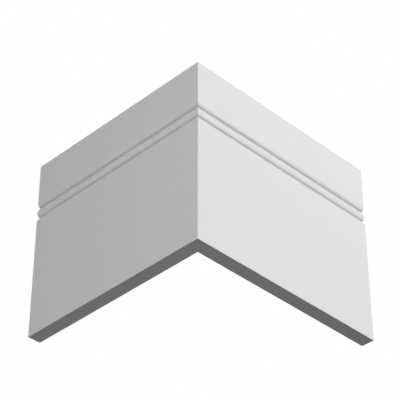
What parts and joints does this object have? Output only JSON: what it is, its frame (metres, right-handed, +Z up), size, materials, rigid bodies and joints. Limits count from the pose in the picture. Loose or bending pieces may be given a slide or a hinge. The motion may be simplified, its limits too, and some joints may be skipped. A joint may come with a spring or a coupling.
{
  "type": "skirting board",
  "caption": "Mitred external corner of flat skirting board with a double groove near its top edge; covers the joint of wall and floor round a corner.",
  "frame": {"origin": "the foot of the wall's corner: where the two back faces meet at floor level", "axes": "+Z up the wall; +X along the wall behind the right board, +Y along the wall behind the left board; the fronts face -Y and -X"},
  "size_m": [0.1947, 0.1875, 0.17],
  "materials": {
    "white_paint": "smooth satin white paint over fibreboard"
  },
  "bodies": {
    "root": {"right_board": "white_paint", "left_board": "white_paint"}
  },
  "joints": []
}
